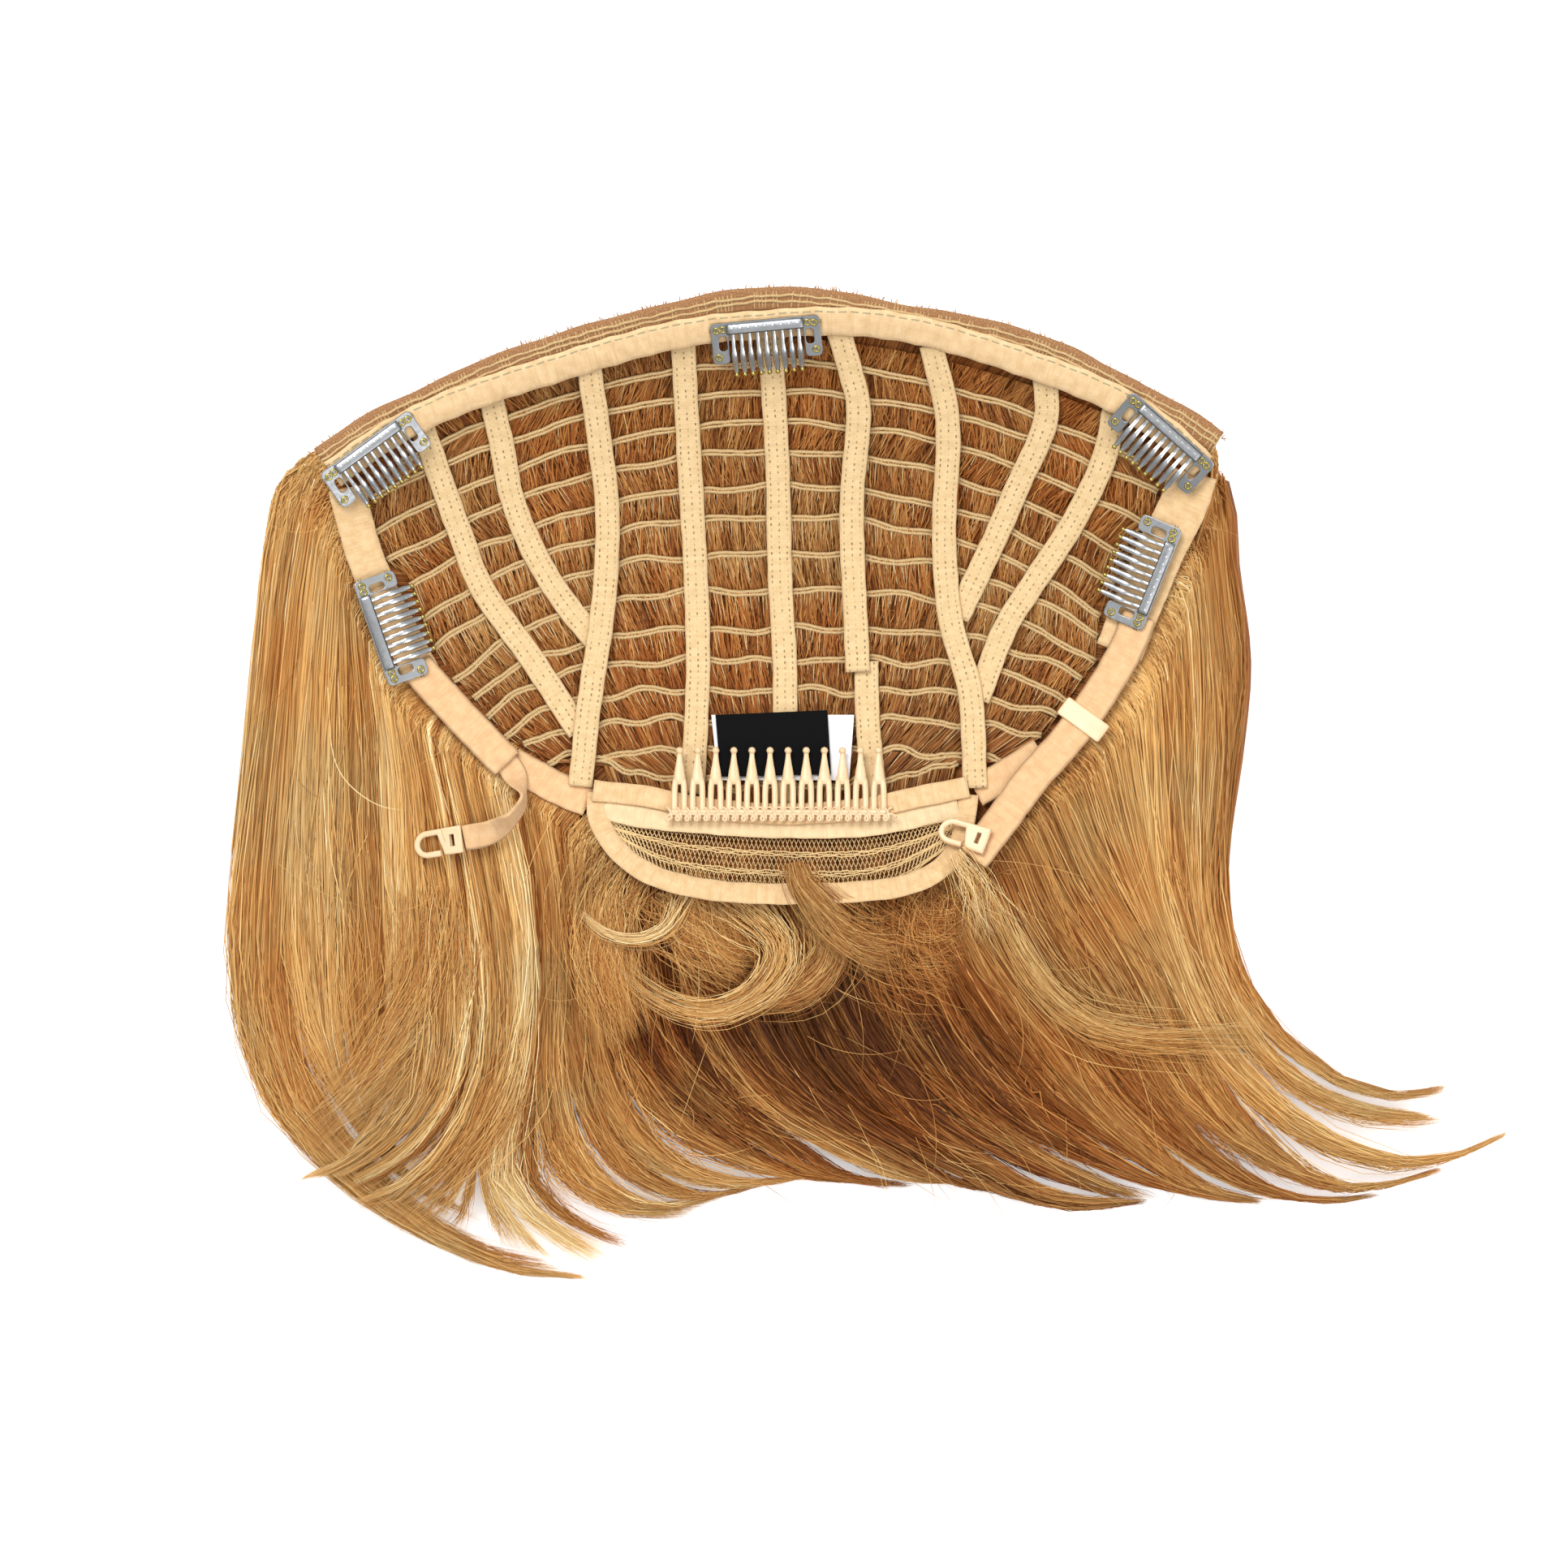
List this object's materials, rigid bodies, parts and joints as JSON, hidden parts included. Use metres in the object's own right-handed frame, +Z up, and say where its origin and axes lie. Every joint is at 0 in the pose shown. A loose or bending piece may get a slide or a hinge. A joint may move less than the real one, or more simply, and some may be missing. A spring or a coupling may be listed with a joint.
{
  "type": "clip-in hair extension",
  "caption": "Demi-cap hairpiece lying hair-down, with rows of hair on ribbons, steel snap clips, a plastic comb, a netted nape piece and hooked elastic straps.",
  "frame": {"origin": "on the surface that the hairpiece lies on, straight below the crown of its cap", "axes": "+X to the wearer's side that lies right in the picture, +Y to the front rim of the cap, +Z up, out of the cap"},
  "size_m": [0.378, 0.2916, 0.0446],
  "materials": {
    "hair": "copper brown and blond mixed hair fibre",
    "weft_cord": "khaki twisted cord",
    "rim_knit": "knitted band with fibre ends",
    "ribbon": "matt woven ribbon",
    "strap": "woven elastic",
    "net": "knitted net",
    "plastic": "moulded, satin",
    "steel": "polished spring steel",
    "label_white": "white woven label, bare",
    "label_black": "black satin label, bare"
  },
  "bodies": {
    "root": {"hair_under_cap": "hair", "hair_fall": "hair", "weft_01": "weft_cord", "weft_02": "weft_cord", "weft_03": "weft_cord", "weft_04": "weft_cord", "weft_05": "weft_cord", "weft_06": "weft_cord", "weft_07": "weft_cord", "weft_08": "weft_cord", "weft_09": "weft_cord", "weft_10": "weft_cord", "weft_11": "weft_cord", "weft_12": "weft_cord", "weft_13": "weft_cord", "weft_14": "weft_cord", "ribbon_1": "ribbon", "ribbon_2": "ribbon", "ribbon_3": "ribbon", "ribbon_4": "ribbon", "ribbon_5": "ribbon", "ribbon_6": "ribbon", "ribbon_6_lower": "ribbon", "ribbon_7": "ribbon", "ribbon_8": "ribbon", "ribbon_9": "ribbon", "front_weft_rim": "rim_knit", "front_tape": "ribbon", "side_tape_left": "ribbon", "side_tape_right": "ribbon", "nape_upper_tape": "ribbon", "nape_lower_tape": "ribbon", "nape_rim_tape": "ribbon", "nape_net": "net", "elastic_left": "strap", "elastic_right": "strap", "nape_link_left": "strap", "nape_link_right": "strap", "adjuster_band_left": "strap", "hook_left": "plastic", "hook_right": "plastic", "strap_slider_right": "plastic", "label_white": "label_white", "label_black": "label_black", "comb": "plastic", "clip_1_frame": "steel", "clip_2_frame": "steel", "clip_3_frame": "steel", "clip_4_frame": "steel", "clip_5_frame": "steel"},
    "clip_1_plate": {"clip_1_comb": "steel"},
    "clip_2_plate": {"clip_2_comb": "steel"},
    "clip_3_plate": {"clip_3_comb": "steel"},
    "clip_4_plate": {"clip_4_comb": "steel"},
    "clip_5_plate": {"clip_5_comb": "steel"}
  },
  "joints": [
    {"name": "clip_1_snap", "type": "hinge", "parent": "root", "child": "clip_1_plate", "pos_m": [-0.00358, 0.09509, 0.039], "axis": [-0.9955, -0.0885, -0.0342], "range_deg": [0, 35]},
    {"name": "clip_2_snap", "type": "hinge", "parent": "root", "child": "clip_2_plate", "pos_m": [-0.11958, 0.05943, 0.0434], "axis": [-0.8008, -0.5924, 0.0878], "range_deg": [0, 35]},
    {"name": "clip_3_snap", "type": "hinge", "parent": "root", "child": "clip_3_plate", "pos_m": [-0.11771, 0.00399, 0.03718], "axis": [0.3308, -0.9428, -0.0402], "range_deg": [0, 35]},
    {"name": "clip_4_snap", "type": "hinge", "parent": "root", "child": "clip_4_plate", "pos_m": [0.11518, 0.0636, 0.04338], "axis": [-0.7477, 0.6635, -0.0256], "range_deg": [0, 35]},
    {"name": "clip_5_snap", "type": "hinge", "parent": "root", "child": "clip_5_plate", "pos_m": [0.11191, 0.01981, 0.03516], "axis": [0.3649, 0.9204, 0.1405], "range_deg": [0, 35]}
  ]
}
